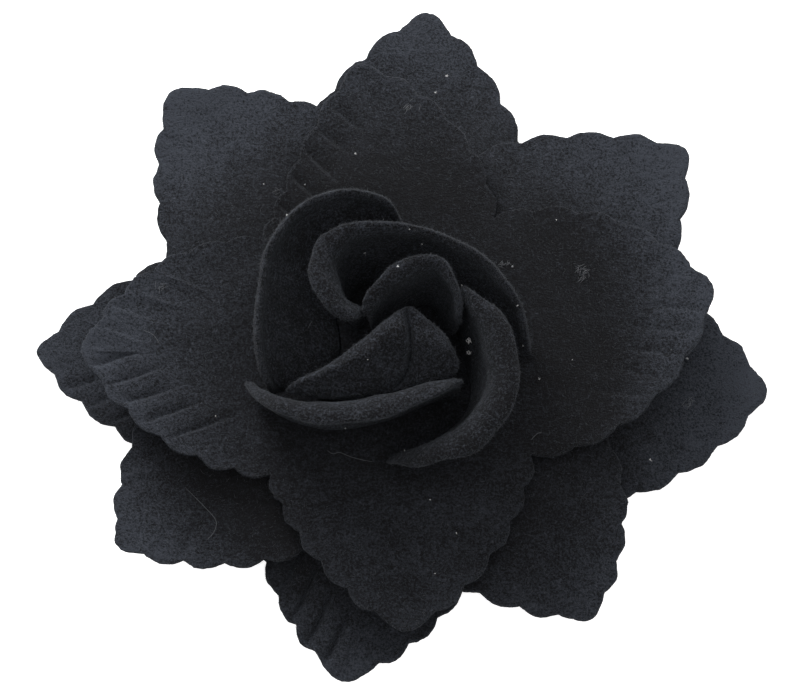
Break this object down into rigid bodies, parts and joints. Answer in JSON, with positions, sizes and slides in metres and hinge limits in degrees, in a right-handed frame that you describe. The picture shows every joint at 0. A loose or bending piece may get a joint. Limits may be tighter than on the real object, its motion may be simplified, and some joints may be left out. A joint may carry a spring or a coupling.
{
  "type": "felt flower brooch",
  "caption": "Black felt flower brooch: layered crosses of scalloped, veined leaves, a rolled rose in the middle and a bar pin behind.",
  "frame": {"origin": "bottom centre of the bounding box, on the surface that the brooch lies on", "axes": "+Z out of the flower's face, +Y towards the top leaf, +X to the right as the flower is looked at from its front"},
  "size_m": [0.1108, 0.1056, 0.022],
  "materials": {
    "black_felt": "soft matte needle felt, fuzzy, with pale lint",
    "pin_steel": "plain bright steel"
  },
  "bodies": {
    "root": {"brooch_pin": "pin_steel", "back_leaves": "black_felt", "middle_leaves": "black_felt", "front_leaves": "black_felt", "rose_petal_left": "black_felt", "rose_petal_back": "black_felt", "rose_petal_right": "black_felt", "rose_petal_inner": "black_felt", "rose_petal_front": "black_felt", "bud": "black_felt"}
  },
  "joints": []
}
